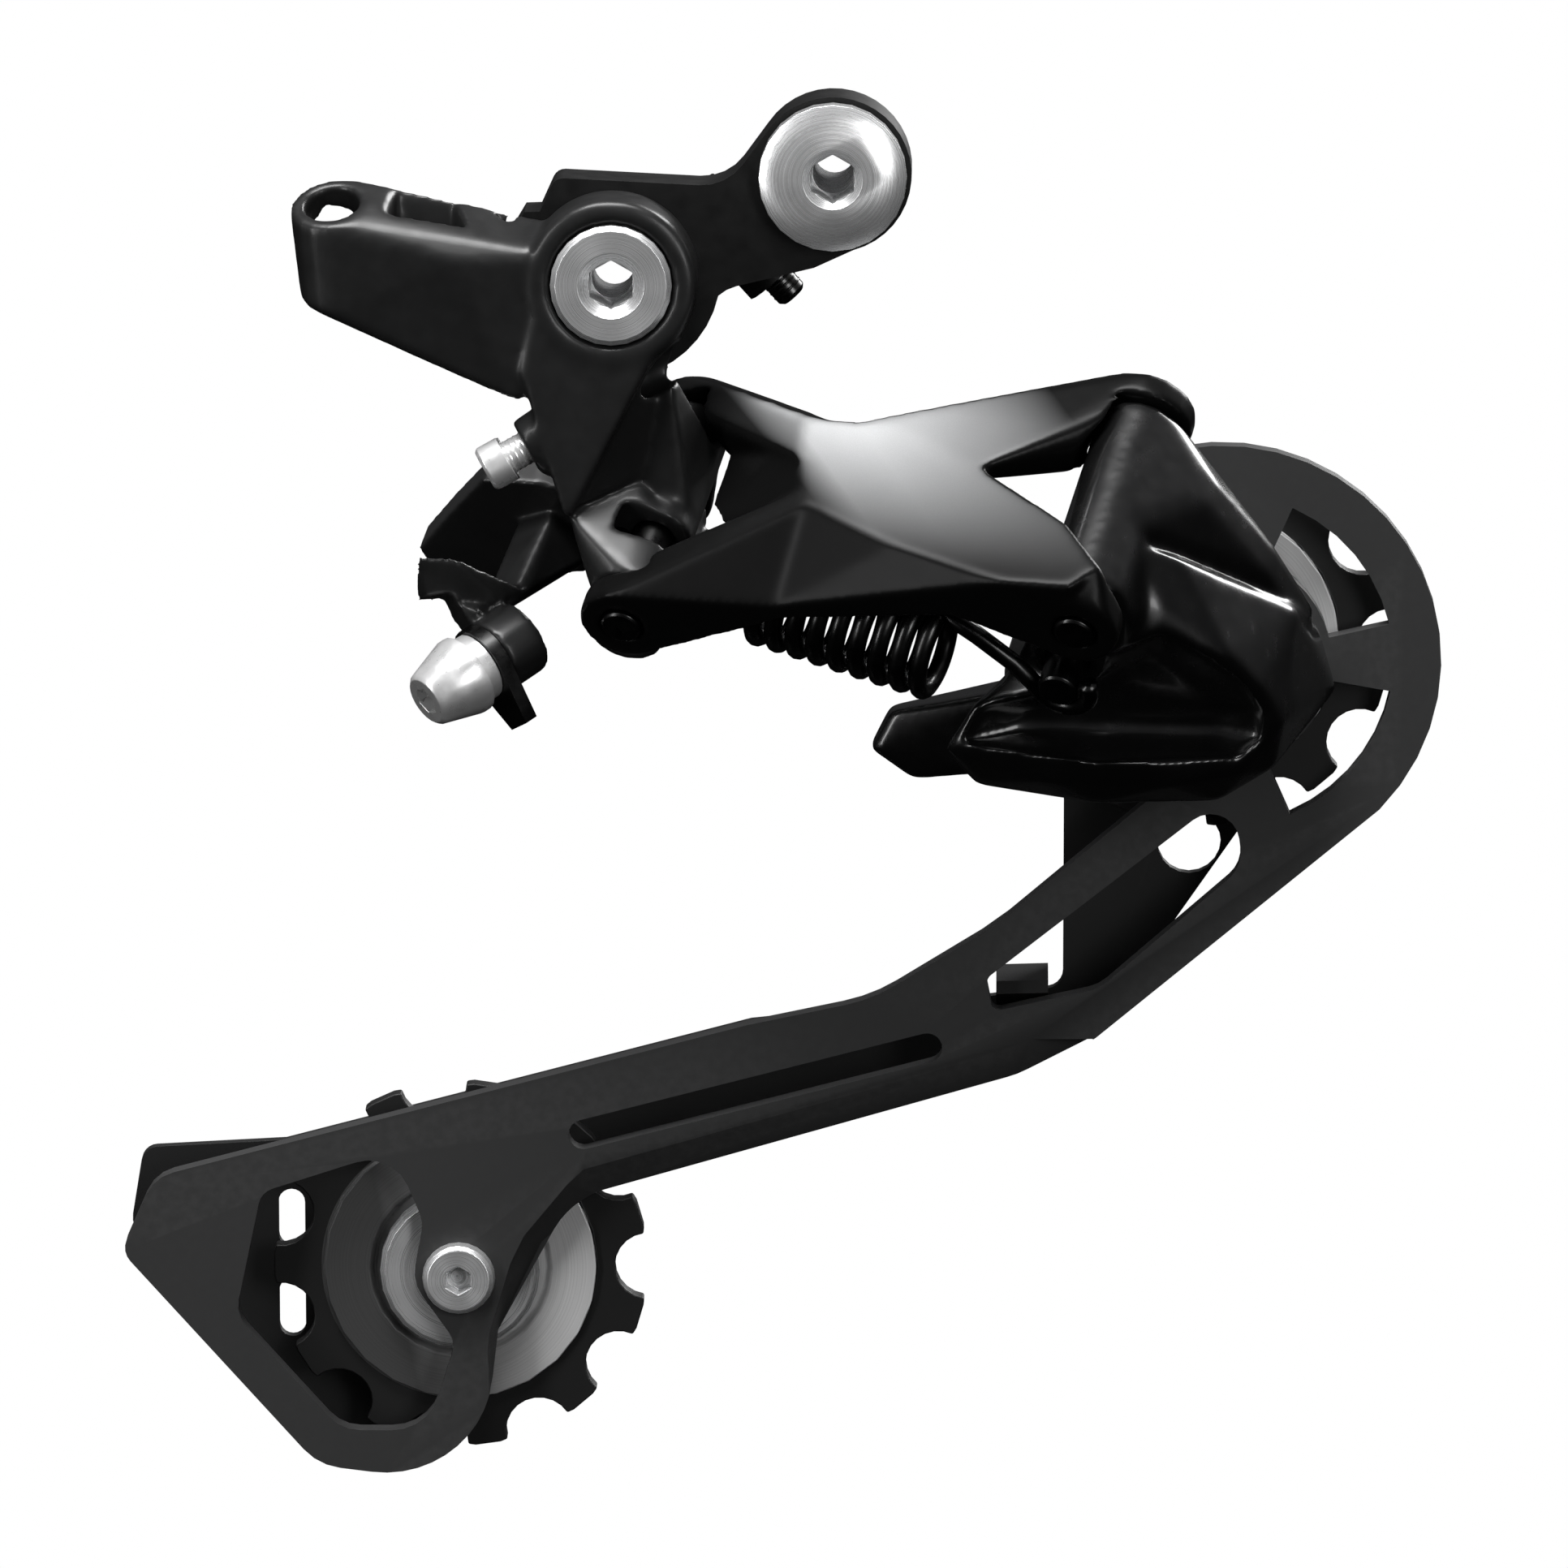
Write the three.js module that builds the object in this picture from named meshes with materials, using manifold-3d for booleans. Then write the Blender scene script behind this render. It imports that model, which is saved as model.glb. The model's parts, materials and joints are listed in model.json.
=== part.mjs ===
// A rear derailleur for a mountain bike, as an assembly of separate named pieces.
// Millimetres. +X points to the front of the bike, +Y towards the wheel and +Z up. The pieces are drawn
// with their origin on the hanger bolt's axis, where its shoulder meets the frame's hanger. The finished
// group is moved back so that its origin lies on the shoulder's flat ring, straight ahead of the axis.

import * as THREE from "three";
import { ConvexGeometry } from "three/addons/geometries/ConvexGeometry.js";
import { mergeVertices } from "three/addons/utils/BufferGeometryUtils.js";
import Module from "manifold-3d";

const wasm = await Module();
wasm.setup();

const at = (x, y, z) => new THREE.Vector3(x, y, z);
const degrees = THREE.MathUtils.degToRad;
const X = at(1, 0, 0);
const Y = at(0, 1, 0);

// ---- Driving dimensions ----

const CHAIN_PITCH = 12.7;
const ROLLER_RADIUS = 4;
const PULLEY_TEETH = 11;
const PULLEY_PITCH_RADIUS = CHAIN_PITCH / 2 / Math.sin(Math.PI / PULLEY_TEETH);
const PULLEY_TIP_RADIUS = 22.5;
const PULLEY_PLANE = 9;

const BRACKET_OUTER_Y = -6.9;
const BRACKET_INNER_Y = -0.3;
const KNUCKLE_PIVOT = at(-25.7, 0, -11.7);
const GUIDE = at(43.6, PULLEY_PLANE, -58.5);
const TENSION = at(-44.8, PULLEY_PLANE, -135.4);
const CAGE_PIVOT = at(34.6, 0, -62.5);
const GUARD = at(45.9, 0, -59.7);
const GUARD_RADIUS = 26;

const OUTER_PLATE = { y0: 2, y1: 4.5 };
const INNER_PLATE = { y0: 13.5, y1: 15 };

// The four link pins are parallel. Along a link is `LINK`, along a pin is `PIN`, and `SWING` is the way
// the front of a link moves when the cable is pulled. A place on the linkage is (link, swing, pin).
const LINK_LENGTH = 56;
const PIN = at(0.24, 0.778, 0.581).normalize();
const LINK = at(0.94, -0.334, 0.059).projectOnPlane(PIN).normalize();
const SWING = PIN.clone().cross(LINK);
const LOW_REAR_PIN = at(-24.5, -20, -51.15);
const INNER_OFFSET = [-5, 10.9];
const PIN_RADIUS = 2.4;
const HUB_RADIUS = 4.7;
const RUNNING_GAP = 0.1;

const LOW_EAR = [0, 4];
const HIGH_EAR = [33, 36.5];
const KNUCKLE_SPAN = [4.3, 32.7];
const INNER_HUB = [18.4, 29.6];
const INNER_LOW_EAR = [9, 18];
const INNER_HIGH_EAR = [30, 32.7];
const SPRING_GROOVE = [10.2, 14.4];

// ---- Shape helpers ----

const WELD = 1e-3;
const ARC_STEP = degrees(18);
const FINE_STEP = degrees(9);
const LARGE_RADIUS = 9;
const SIDES = 24;

function toSolid(geometry) {
  const bare = new THREE.BufferGeometry();
  bare.setAttribute("position", geometry.getAttribute("position").clone());
  if (geometry.index) bare.setIndex(geometry.index.clone());
  const welded = mergeVertices(bare, WELD);
  const triangles = [];
  const index = welded.index.array;
  for (let i = 0; i < index.length; i += 3) {
    const [a, b, c] = [index[i], index[i + 1], index[i + 2]];
    if (a !== b && b !== c && c !== a) triangles.push(a, b, c);
  }
  const mesh = new wasm.Mesh({
    numProp: 3,
    vertProperties: welded.attributes.position.array,
    triVerts: Uint32Array.from(triangles),
  });
  return new wasm.Manifold(mesh);
}

function toGeometry(solid) {
  const mesh = solid.getMesh();
  const geometry = new THREE.BufferGeometry();
  geometry.setAttribute("position", new THREE.BufferAttribute(mesh.vertProperties, 3));
  geometry.setIndex(new THREE.BufferAttribute(mesh.triVerts, 1));
  return geometry;
}

const join = (...parts) => toGeometry(parts.map(toSolid).reduce((sum, part) => sum.add(part)));

const cut = (body, ...tools) =>
  toGeometry(tools.map(toSolid).reduce((rest, tool) => rest.subtract(tool), toSolid(body)));

const hull = (...points) => new ConvexGeometry(points.flat());

// The points of an arc in the X-Z plane, in degrees, 0 along +X and 90 along +Z.
function arc(cx, cz, radius, from, to) {
  const sweep = degrees(to - from);
  const step = radius < LARGE_RADIUS ? ARC_STEP : FINE_STEP;
  const steps = Math.ceil(Math.abs(sweep) / step);
  return Array.from({ length: steps + 1 }, (_, i) => {
    const angle = degrees(from) + (sweep * i) / steps;
    return [cx + radius * Math.cos(angle), cz + radius * Math.sin(angle)];
  });
}

// An outline from corners [x, z, radius]. A corner that has a radius becomes an arc.
function outline(corners) {
  const corner = (i) => new THREE.Vector2(...corners.at(i % corners.length).slice(0, 2));
  return corners.flatMap(([, , radius], i) => {
    const here = corner(i);
    if (!radius) return [here];
    const back = corner(i - 1).sub(here).normalize();
    const ahead = corner(i + 1).sub(here).normalize();
    const half = Math.acos(back.dot(ahead)) / 2;
    const inward = back.clone().add(ahead).normalize();
    const centre = inward.multiplyScalar(radius / Math.sin(half)).add(here);
    const reach = radius / Math.tan(half);
    const start = back.multiplyScalar(reach).add(here).sub(centre).angle();
    const end = ahead.multiplyScalar(reach).add(here).sub(centre).angle();
    const sweep = THREE.MathUtils.euclideanModulo(end - start + Math.PI, 2 * Math.PI) - Math.PI;
    const from = THREE.MathUtils.radToDeg(start);
    const to = THREE.MathUtils.radToDeg(start + sweep);
    return arc(centre.x, centre.y, radius, from, to).map((p) => new THREE.Vector2(...p));
  });
}

const circle = (cx, cz, radius) => arc(cx, cz, radius, 0, 360).slice(1);

// A slot with round ends between two points.
function slot([x0, z0], [x1, z1], radius) {
  const lean = THREE.MathUtils.radToDeg(Math.atan2(z1 - z0, x1 - x0));
  return [
    ...arc(x0, z0, radius, lean + 90, lean + 270),
    ...arc(x1, z1, radius, lean - 90, lean + 90),
  ];
}

// A flat piece parallel to the X-Z plane, from y0 to y1.
function plate(corners, { y0, y1 }, holes = []) {
  const shape = new THREE.Shape(outline(corners));
  const options = { depth: y1 - y0, bevelEnabled: false };
  const body = new THREE.ExtrudeGeometry(shape, options).rotateX(Math.PI / 2).translate(0, y1, 0);
  const through = { y0: y0 - 1, y1: y1 + 1 };
  return cut(body, ...holes.map((hole) => plate(hole, through)));
}

// A turned piece about the Y axis from [y, radius] points, hollow when it has a bore.
function turned(profile, bore = 0, sides = SIDES) {
  const points = profile.map(([y, radius]) => new THREE.Vector2(radius, y));
  const [low, high] = [profile[0][0], profile.at(-1)[0]];
  const ends = [new THREE.Vector2(bore, high), new THREE.Vector2(bore, low)];
  points.push(ends[0]);
  points.unshift(ends[1]);
  if (bore) points.push(ends[1].clone());
  return new THREE.LatheGeometry(points, sides);
}

// Turns a piece made along +Y to lie along `axis`, with its y = 0 at `origin`.
function aim(geometry, origin, axis) {
  const turn = new THREE.Quaternion().setFromUnitVectors(Y, axis);
  return geometry.applyQuaternion(turn).translate(...origin);
}

function bar(from, to, radius, sides = SIDES, endRadius = radius) {
  const along = to.clone().sub(from);
  const shape = turned([[0, radius], [along.length(), endRadius]], 0, sides);
  return aim(shape, from, along.normalize());
}

// The points of a ring around `centre`, square to `axis`.
function ring(centre, axis, radius, count = 14) {
  const side = Math.abs(axis.x) > 0.9 ? Y : X;
  const u = axis.clone().cross(side).normalize();
  const w = axis.clone().cross(u);
  return Array.from({ length: count }, (_, i) => {
    const angle = (2 * Math.PI * i) / count;
    const spoke = u.clone().multiplyScalar(Math.cos(angle)).addScaledVector(w, Math.sin(angle));
    return centre.clone().addScaledVector(spoke, radius);
  });
}

// The points of a ball, as rings stacked along `axis`.
const ball = (centre, axis, radius) =>
  [-66, -22, 22, 66].flatMap((lift) => {
    const level = centre.clone().addScaledVector(axis, radius * Math.sin(degrees(lift)));
    return ring(level, axis, radius * Math.cos(degrees(lift)));
  });

function hexSocket(width, y0, y1) {
  const corner = width / Math.sqrt(3);
  return turned([[y0, corner], [y1, corner]], 0, 6);
}

// ---- Places on the linkage ----

const onLinkage = (link, swing, pin) =>
  LOW_REAR_PIN.clone()
    .addScaledVector(LINK, link)
    .addScaledVector(SWING, swing)
    .addScaledVector(PIN, pin);

const pinLine = (link, swing, [from, to]) => [onLinkage(link, swing, from), onLinkage(link, swing, to)];

const boss = (link, swing, span, radius) =>
  pinLine(link, swing, span).flatMap((centre) => ring(centre, PIN, radius));

const pinBar = (link, swing, span, radius) => bar(...pinLine(link, swing, span), radius);

const FRONT_INNER = [LINK_LENGTH + INNER_OFFSET[0], INNER_OFFSET[1]];

// ---- Hanger bolt and bracket ----

const HANGER_BOLT = { head: 8.65, face: 6.35, shoulder: 6.8, thread: 5, bore: 2.4, length: 9 };
const SHOULDER_MIDDLE = (HANGER_BOLT.shoulder + HANGER_BOLT.thread) / 2;

function hangerBolt() {
  const { head, face, shoulder, thread, bore, length } = HANGER_BOLT;
  const front = -10.5;
  const body = turned([
    [front, face],
    [front + 1.2, head],
    [BRACKET_OUTER_Y - 0.3, head],
    [BRACKET_OUTER_Y - 0.3, shoulder],
    [0, shoulder],
    [0, thread],
    [length - 0.8, thread],
    [length, thread - 0.8],
  ]);
  const countersink = turned([[front - 0.1, 3.6], [front + 0.9, 2.7]]);
  const through = turned([[front - 1, bore], [length + 1, bore]]);
  return cut(body, countersink, hexSocket(5, front - 1, front + 5), through);
}

function hangerBush() {
  const { shoulder } = HANGER_BOLT;
  return turned([[BRACKET_OUTER_Y, shoulder + 0.8], [BRACKET_INNER_Y, shoulder + 0.8]], shoulder + 0.08);
}

const STOP_SCREW = { tip: at(-4.7, 3.2, -16.2), axis: at(0.67, 0, -0.742).normalize(), length: 15 };

const stopScrewAt = (distance) => STOP_SCREW.tip.clone().addScaledVector(STOP_SCREW.axis, -distance);

function bracketArm() {
  const { x, z } = KNUCKLE_PIVOT;
  const depth = { y0: BRACKET_OUTER_Y, y1: BRACKET_INNER_Y };
  const body = plate(
    [
      [-32.4, -0.4, 1.5],
      [-12.4, -1.4, 6],
      ...arc(0, 0, 9.2, 146, -75),
      [-2.2, -11],
      [-12.5, -13.5, 5],
      ...arc(x, z, 12.6, -12, -215),
      [-34.2, -4.4],
    ],
    depth,
  );
  const screwBoss = [stopScrewAt(3.6), stopScrewAt(12.5)].flatMap((centre) =>
    [0, BRACKET_OUTER_Y / 2].flatMap((drop) =>
      ring(centre.clone().setY(centre.y + drop), STOP_SCREW.axis, 3.5),
    ),
  );
  const bushBore = turned([[-9, HANGER_BOLT.shoulder + 0.85], [9, HANGER_BOLT.shoulder + 0.85]]);
  const boltHole = turned([[-9, 3.95], [9, 3.95]]).translate(x, 0, z);
  const screwHole = bar(stopScrewAt(-1), stopScrewAt(30), 2.05, 16);
  return cut(join(body, hull(screwBoss)), bushBore, boltHole, screwHole);
}

function stopScrew() {
  const { tip, axis, length } = STOP_SCREW;
  const profile = [
    [0, 2.8],
    [2.2, 2.8],
    [2.2, 1.9],
    [length + 1.7, 1.9],
    [length + 2.2, 1.4],
  ];
  const body = turned(profile, 0, 16);
  const recess = hexSocket(2.5, -0.5, 1.4);
  return aim(cut(body, recess), stopScrewAt(length + 2.2), axis);
}

function bPivotBolt() {
  const front = -15.6;
  const body = turned([
    [front, 6.5],
    [front + 0.5, 7.1],
    [-13.6, 7.1],
    [-13.6, 4.9],
    [BRACKET_OUTER_Y - 0.05, 4.9],
    [BRACKET_OUTER_Y - 0.05, 3.9],
    [-1, 3.9],
    [-0.5, 3.4],
  ]);
  const countersink = turned([[front - 0.1, 4], [front + 1.1, 2.7]]);
  const through = turned([[front - 1, 2.4], [1, 2.4]]);
  const bolt = cut(body, countersink, hexSocket(5, front - 1, front + 6), through);
  return bolt.translate(KNUCKLE_PIVOT.x, 0, KNUCKLE_PIVOT.z);
}

function bPivotBush() {
  return turned([[-13.4, 5.8], [-7.3, 5.8]], 4.98).translate(KNUCKLE_PIVOT.x, 0, KNUCKLE_PIVOT.z);
}

// ---- B-knuckle: barrel, cable arm and the rear ends of both links ----

const HOUSING = { seat: at(-58.4, -10, -2.9), axis: at(-0.12, -0.43, 0.89).normalize() };

const LIMIT = {
  head: at(-40.6, -12.2, -34.2),
  axis: at(0.87, 0.1, 0.48).normalize(),
  gap: at(0, 5.9, -1.1),
  length: 13,
};

const limitAt = (which, distance) =>
  LIMIT.head.clone().addScaledVector(LIMIT.gap, which).addScaledVector(LIMIT.axis, distance);

function cableArm() {
  const down = HOUSING.axis.clone().multiplyScalar(-1);
  const top = ring(HOUSING.seat, HOUSING.axis, 5);
  const low = ring(HOUSING.seat.clone().add(at(0.6, 0, -10.5)), HOUSING.axis, 4.4);
  const root = [
    at(-30, -7.6, -6),
    at(-30, -14.6, -8.6),
    at(-36, -15, -8.6),
    at(-44, -15.6, -8.6),
    at(-36.5, -14, -26),
    at(-31, -7.8, -21),
  ];
  const pocket = hull(
    [at(-51.2, -6.8, 2), at(-44, -6.6, 1), at(-42, -12.6, 0), at(-52.4, -12.2, 1)],
    [at(-50.6, -7.4, -12), at(-44.6, -7.4, -13), at(-43.4, -11.4, -14), at(-51, -11.2, -12)],
  );
  const small = hull(
    [at(-40.4, -6.8, 1), at(-36.6, -7, 1), at(-37.6, -9.4, 1)],
    [at(-40, -7.2, -9), at(-37, -7.4, -9), at(-37.8, -9.2, -9)],
  );
  const seat = HOUSING.seat.clone().addScaledVector(HOUSING.axis, 1);
  const ferrule = bar(seat, seat.clone().addScaledVector(down, 6), 3.2, 20);
  const wire = bar(seat, seat.clone().addScaledVector(down, 20), 1.3, 12);
  return cut(hull(top, low, root), pocket, small, ferrule, wire);
}

function bKnuckle() {
  const { x, z } = KNUCKLE_PIVOT;
  const barrel = turned([[-15.3, 9.4], [-14.6, 10.1], [-7.1, 10.1]], 0, 36).translate(x, 0, z);
  const spike = hull([
    at(-36.4, -15, -22),
    at(-34, -15, -12),
    at(-18, -15, -15),
    at(-23.8, -15.2, -24),
    at(-31.4, -15.2, -39.2),
    at(-30.4, -15.2, -39.2),
    at(-36, -11, -22),
    at(-34, -11, -12),
    at(-18, -11, -15),
    at(-30.6, -11, -38.6),
  ]);
  const neck = hull([
    at(-24, -15, -20),
    at(-30.6, -14.8, -38.4),
    at(-17, -9.5, -18),
    at(-21.4, -9, -35),
    at(-30, -7.4, -16),
    at(-18, -7.4, -18),
    at(-22, -7, -34),
    at(-30, -9, -38),
  ]);
  const rearBoss = hull(boss(0, 0, KNUCKLE_SPAN, HUB_RADIUS));
  const lowWeb = hull(boss(0, 0, [4.3, 13], HUB_RADIUS), [
    at(-31, -13.6, -39),
    at(-22.5, -9.4, -36),
    at(-26, -8, -37),
    at(-30.4, -11, -38),
  ]);
  const highWeb = hull(boss(0, 0, [17, 28], HUB_RADIUS), [
    at(-19, -11, -21.5),
    at(-20, -9, -25.5),
    at(-27, -8, -26),
    at(-22, -9.6, -34),
  ]);
  const lowEar = hull(boss(0, 0, [7, 10.2], 4), boss(...INNER_OFFSET, [9, 13], HUB_RADIUS));
  const lowHub = hull(boss(...INNER_OFFSET, INNER_LOW_EAR, HUB_RADIUS));
  const highEar = hull(boss(0, 0, [30, 32.7], 4), boss(...INNER_OFFSET, INNER_HIGH_EAR, HUB_RADIUS));
  const screwPad = hull(ring(limitAt(0, 5.5), LIMIT.axis, 3.4), ring(limitAt(1, 5.5), LIMIT.axis, 3.4), [
    at(-31, -14.6, -24),
    at(-30, -8.6, -24),
    at(-28, -12, -37),
    at(-28, -9, -36),
  ]);
  const bolt = turned([[-16, 7.3], [-13.5, 7.3], [-13.5, 5.85], [-6, 5.85]], 0, 36).translate(x, 0, z);
  const groove = cut(hull(boss(0, 0, SPRING_GROOVE, 6.4)), pinBar(0, 0, [0, 40], 1.2));
  const casting = join(
    barrel,
    cableArm(),
    spike,
    neck,
    rearBoss,
    lowWeb,
    highWeb,
    lowEar,
    lowHub,
    highEar,
    screwPad,
  );
  return cut(
    casting,
    bolt,
    groove,
    pinBar(0, 0, [-5, 45], PIN_RADIUS + 0.02),
    pinBar(...INNER_OFFSET, [-5, 45], PIN_RADIUS + 0.02),
    bar(limitAt(0, -5), limitAt(0, 40), 2.05, 16),
    bar(limitAt(1, -5), limitAt(1, 40), 2.05, 16),
  );
}

function limitScrew(which) {
  const { axis, length } = LIMIT;
  const profile = [
    [0, 2.4],
    [0.4, 2.75],
    [3, 2.75],
    [3, 1.9],
    [length - 0.4, 1.9],
    [length, 1.5],
  ];
  const body = turned(profile, 0, 16);
  return aim(cut(body, hexSocket(2.5, -0.5, 1.8)), limitAt(which, 0), axis);
}

// ---- Links ----

const COIL = { wire: 1.1, radius: 5.8, turns: 9, from: 0.27, to: 0.72 };
const SPRING_HOOK = { rear: 12.3, front: 2.4 };

const springEnds = () => [onLinkage(0, 0, SPRING_HOOK.rear), onLinkage(...FRONT_INNER, SPRING_HOOK.front)];

const shifted = (points, by) => points.map(([l, s, p]) => onLinkage(l, s + by, p));

const linkage = (points) => shifted(points, 0);

const SKIN = 2.4;
const FACE_AT_REAR_PIN = -12.7;
const FACE_SLOPE = 0.094;

// The outboard face of the outer link is one flat plane. `depth` goes in behind it.
const onFace = (link, pin, depth) => onLinkage(link, FACE_AT_REAR_PIN + FACE_SLOPE * link + depth, pin);

// A slab behind that face, with its corners at [link, pin] places.
const slab = (...places) => [0, SKIN].flatMap((depth) => places.map(([l, a]) => onFace(l, a, depth)));

function outerLink() {
  const [topRear, topFront] = [[19.5, 23.8], [29.5, 24]];
  const [waist, shoulder, toe] = [[42.3, 18.1], [54.4, 10.4], [60, 3.9]];
  const [foldRear, foldMiddle, foldFront] = [[22.9, 10.1], [35, 4.6], [49, 0.2]];
  const lowEdge = [
    [20, -3.4, 0.2],
    [39, -6, 0.2],
    [46, -4.6, 0.2],
  ];
  const skirt = [...shifted(lowEdge, 0), ...shifted(lowEdge, SKIN)];
  const panel = hull(
    slab(topRear, topFront, waist, shoulder, toe, [57, 0.2], foldFront, foldMiddle, foldRear),
  );
  const keel = hull(slab(foldRear, foldMiddle, foldFront), skirt);
  const lowRear = hull(
    boss(0, 0, LOW_EAR, 5.2),
    slab(foldRear, [24.4, 10.6], [22.2, 12.8], [24.4, 12.8]),
    [skirt[0], skirt[3]],
  );
  const highRear = hull(boss(0, 0, HIGH_EAR, 5), slab(topRear, [22.5, 23.8], [20.4, 17], [23, 17]));
  const rearEdge = [
    [8, -4, 29],
    [8, -4, 12],
  ];
  const rearWeb = hull(slab(topRear, foldRear, [24, 17]), shifted(rearEdge, 0), shifted(rearEdge, SKIN));
  const lowFront = hull(
    boss(LINK_LENGTH, 0, LOW_EAR, 5.2),
    slab(foldFront, shoulder, toe),
    [skirt[1], skirt[4]],
  );
  const highFront = hull(boss(LINK_LENGTH, 0, HIGH_EAR, 6), slab([26, 23.9], topFront, waist));
  return cut(
    join(panel, keel, rearWeb, lowRear, highRear, lowFront, highFront),
    pinBar(0, 0, [-5, 45], PIN_RADIUS + RUNNING_GAP),
    pinBar(LINK_LENGTH, 0, [-5, 45], PIN_RADIUS + RUNNING_GAP),
    hull(boss(LINK_LENGTH, 0, [LOW_EAR[1], HIGH_EAR[0]], 6.3)),
    hull(boss(0, 0, [LOW_EAR[1], HIGH_EAR[0]], 7.1)),
    hull(boss(LINK_LENGTH, 0, [29.7, HIGH_EAR[0]], 5.2), boss(...FRONT_INNER, [29.7, HIGH_EAR[0]], 5.3)),
    bar(...springEnds(), COIL.radius + COIL.wire + 0.4),
  );
}

const CLAMP = { centre: at(-40.2, -7.4, -57.6), axis: at(-0.62, -0.46, -0.34).normalize() };

const clampAt = (distance) => CLAMP.centre.clone().addScaledVector(CLAMP.axis, distance);

function innerLink() {
  const [l, s] = INNER_OFFSET;
  const rearHub = hull(boss(l, s, INNER_HUB, HUB_RADIUS));
  const frontHub = hull(boss(...FRONT_INNER, INNER_HUB, HUB_RADIUS));
  const web = hull(
    linkage([
      [l, s + 1, 19],
      [l, s + 3.6, 19],
      [l, s + 1, 27.4],
      [l, s + 3.6, 27.4],
      [l + LINK_LENGTH, s + 1, 19],
      [l + LINK_LENGTH, s + 3.6, 19],
      [l + LINK_LENGTH, s + 1, 27.4],
      [l + LINK_LENGTH, s + 3.6, 27.4],
    ]),
  );
  const [near, far] = [24.4, 28.6];
  const cheek = hull(
    boss(l, s, [near, far], 4.2),
    [near, far].flatMap((a) =>
      linkage([
        [-18, 1.6, a],
        [-24.8, 1, a],
        [-31, 7.2, a],
        [-36.6, 13.2, a],
        [-34.6, 19.6, a],
        [-22, 17.6, a],
      ]),
    ),
  );
  const column = hull(
    linkage([
      [-18.4, 6, 8],
      [-22, 6.4, 8],
      [-22, 8.6, 8],
      [-16.8, 6.8, 12.4],
      [-17, 6, 25],
      [-22, 7.6, 25],
      [-21, 12.4, 25],
      [-12, 13, 25],
    ]),
  );
  const wing = hull(
    linkage([
      [-25.9, -5.4, 6],
      [-27.2, -1.2, 5],
      [-27.4, 2.4, 4.4],
      [-25.4, 5, 3],
      [-22.4, -3, 8],
      [-19, 4.4, 8],
      [-16.8, 6.8, 12],
      [-21, 8, 12],
    ]),
  );
  const hook = hull([
    at(-45.4, -7, -51),
    at(-46, -4, -53.4),
    at(-40, 0, -51),
    at(-45.2, -6.6, -56.6),
    at(-41.6, -7.4, -52),
    at(-39, -4, -58.6),
  ]);
  const pad = bar(clampAt(0.5), clampAt(-5.2), 4.6, 20);
  return cut(
    join(rearHub, frontHub, web, cheek, column, wing, hook, pad),
    pinBar(l, s, [10, 45], PIN_RADIUS + RUNNING_GAP),
    pinBar(...FRONT_INNER, [10, 45], PIN_RADIUS + RUNNING_GAP),
    pinBar(l, s, [-2, INNER_LOW_EAR[1] + 0.2], HUB_RADIUS + 0.6),
    bar(clampAt(-0.05), clampAt(12), 9, SIDES, 14),
    bar(clampAt(4), clampAt(-4.9), 2.55, 16),
  );
}

function cableWasher() {
  const side = at(-0.66, 0, 0.75).projectOnPlane(CLAMP.axis).normalize();
  const [near, far] = [clampAt(0), clampAt(1.7)];
  const tab = (centre) => ring(centre, CLAMP.axis, 4.6, 20);
  const tail = [near, far].map((centre) => centre.clone().addScaledVector(side, -8.6));
  const edge = side.clone().cross(CLAMP.axis);
  const corners = tail.flatMap((centre) => [-2.2, 2.2].map((w) => centre.clone().addScaledVector(edge, w)));
  const body = hull(tab(near), tab(far), corners);
  return cut(body, bar(clampAt(-3), clampAt(4), 2.55, 16));
}

function cableBolt() {
  const profile = [
    [-4.6, 2.4],
    [1.75, 2.4],
    [1.75, 4.2],
    [3.6, 4.2],
    [3.6, 4.9],
    [4.6, 4.9],
    [9.6, 3.4],
    [10.1, 2.9],
  ];
  return aim(cut(turned(profile), hexSocket(3, 6.5, 12)), clampAt(0), CLAMP.axis);
}

const pinBody = ([link, swing], [from, to]) => {
  const [start] = pinLine(link, swing, [from, to]);
  const length = to - from;
  const profile = [
    [0, PIN_RADIUS - 0.3],
    [0.3, PIN_RADIUS],
    [length - 0.3, PIN_RADIUS],
    [length, PIN_RADIUS - 0.3],
  ];
  return aim(turned(profile, 0, 20), start, PIN);
};

// ---- Return spring between the links ----

function springPath() {
  const [rear, front] = springEnds();
  const along = front.clone().sub(rear);
  const length = along.length();
  along.normalize();
  const out = PIN.clone().projectOnPlane(along).normalize();
  const side = along.clone().cross(out);
  const place = (distance, radius, angle) =>
    rear
      .clone()
      .addScaledVector(along, distance)
      .addScaledVector(side, radius * Math.cos(angle))
      .addScaledVector(out, radius * Math.sin(angle));
  const hookRadius = PIN_RADIUS + COIL.wire + 0.3;
  const points = [];
  for (const turn of [-200, -150, -100, -50]) {
    const angle = degrees(turn);
    points.push(
      rear
        .clone()
        .addScaledVector(along, hookRadius * Math.cos(angle))
        .addScaledVector(side, hookRadius * Math.sin(angle)),
    );
  }
  points.push(place(hookRadius + 2, 0.8, 0));
  const steps = COIL.turns * 9;
  for (let i = 0; i <= steps; i++) {
    const share = i / steps;
    const distance = length * THREE.MathUtils.lerp(COIL.from, COIL.to, share);
    points.push(place(distance, COIL.radius, share * COIL.turns * 2 * Math.PI));
  }
  points.push(place(length - hookRadius - 2, 0.8, 0));
  for (const turn of [50, 100, 150, 200]) {
    const angle = degrees(180 + turn);
    points.push(
      front
        .clone()
        .addScaledVector(along, hookRadius * Math.cos(angle))
        .addScaledVector(side, hookRadius * Math.sin(angle)),
    );
  }
  return points;
}

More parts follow.
